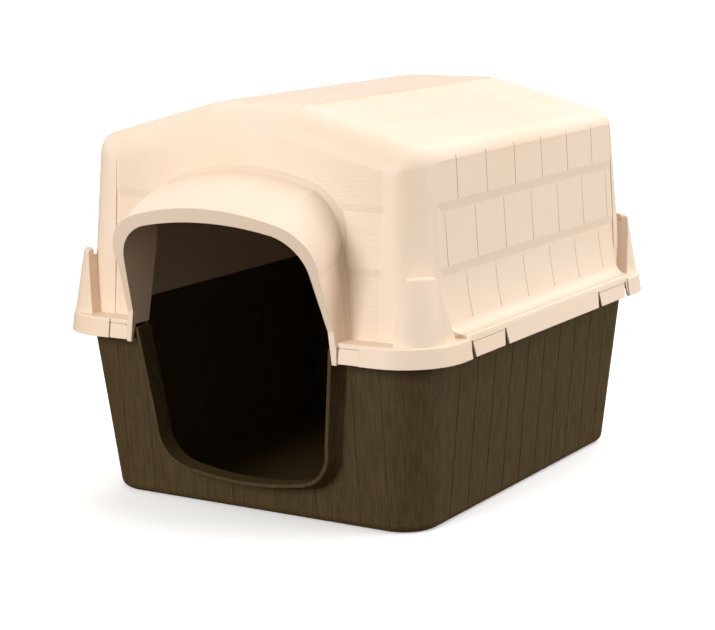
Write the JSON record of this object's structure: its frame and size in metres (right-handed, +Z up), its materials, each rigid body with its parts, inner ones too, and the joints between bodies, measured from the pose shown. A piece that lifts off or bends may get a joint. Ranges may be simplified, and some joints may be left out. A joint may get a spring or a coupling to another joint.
{
  "type": "small animal shelter",
  "caption": "Two-piece snap-together moulded plastic animal shelter: dark ribbed base tub with a collared doorway, light barn roof with a hood and shingle siding.",
  "frame": {"origin": "on the ground, under the middle of the base tub", "axes": "+Z up, -Y out of the doorway, +X to the right of someone who looks at the doorway"},
  "size_m": [0.604, 0.7396, 0.54],
  "materials": {
    "base_plastic": "matte, fine wood grain",
    "roof_plastic": "satin, fine wood grain"
  },
  "bodies": {
    "base": {"base_tub": "base_plastic"},
    "roof": {"roof_shell": "roof_plastic"},
    "right_front_latch": {"right_front_latch": "roof_plastic"},
    "right_rear_latch": {"right_rear_latch": "roof_plastic"},
    "left_front_latch": {"left_front_latch": "roof_plastic"},
    "left_rear_latch": {"left_rear_latch": "roof_plastic"},
    "rear_right_latch": {"rear_right_latch": "roof_plastic"},
    "rear_left_latch": {"rear_left_latch": "roof_plastic"},
    "front_right_clip": {"front_right_clip": "roof_plastic"},
    "front_left_clip": {"front_left_clip": "roof_plastic"}
  },
  "joints": [
    {"name": "roof_lift", "type": "slide", "parent": "base", "child": "roof", "axis": [0, 0, 1], "range_m": [0, 0.35]},
    {"name": "right_front_latch_flex", "type": "hinge", "parent": "roof", "child": "right_front_latch", "pos_m": [0.2959, -0.187, 0.247], "axis": [0, -1, 0], "range_deg": [0, 8], "stiffness_Nm_per_rad": 0.4},
    {"name": "right_rear_latch_flex", "type": "hinge", "parent": "roof", "child": "right_rear_latch", "pos_m": [0.2959, 0.187, 0.247], "axis": [0, -1, 0], "range_deg": [0, 8], "stiffness_Nm_per_rad": 0.4},
    {"name": "left_front_latch_flex", "type": "hinge", "parent": "roof", "child": "left_front_latch", "pos_m": [-0.2959, -0.187, 0.247], "axis": [0, 1, 0], "range_deg": [0, 8], "stiffness_Nm_per_rad": 0.4},
    {"name": "left_rear_latch_flex", "type": "hinge", "parent": "roof", "child": "left_rear_latch", "pos_m": [-0.2959, 0.187, 0.247], "axis": [0, 1, 0], "range_deg": [0, 8], "stiffness_Nm_per_rad": 0.4},
    {"name": "rear_right_latch_flex", "type": "hinge", "parent": "roof", "child": "rear_right_latch", "pos_m": [0.13, 0.3379, 0.247], "axis": [1, 0, 0], "range_deg": [0, 8], "stiffness_Nm_per_rad": 0.4},
    {"name": "rear_left_latch_flex", "type": "hinge", "parent": "roof", "child": "rear_left_latch", "pos_m": [-0.13, 0.3379, 0.247], "axis": [1, 0, 0], "range_deg": [0, 8], "stiffness_Nm_per_rad": 0.4},
    {"name": "front_right_clip_flex", "type": "hinge", "parent": "roof", "child": "front_right_clip", "pos_m": [0.18075, -0.3379, 0.247], "axis": [-1, 0, 0], "range_deg": [0, 8], "stiffness_Nm_per_rad": 0.4},
    {"name": "front_left_clip_flex", "type": "hinge", "parent": "roof", "child": "front_left_clip", "pos_m": [-0.18075, -0.3379, 0.247], "axis": [-1, 0, 0], "range_deg": [0, 8], "stiffness_Nm_per_rad": 0.4}
  ]
}
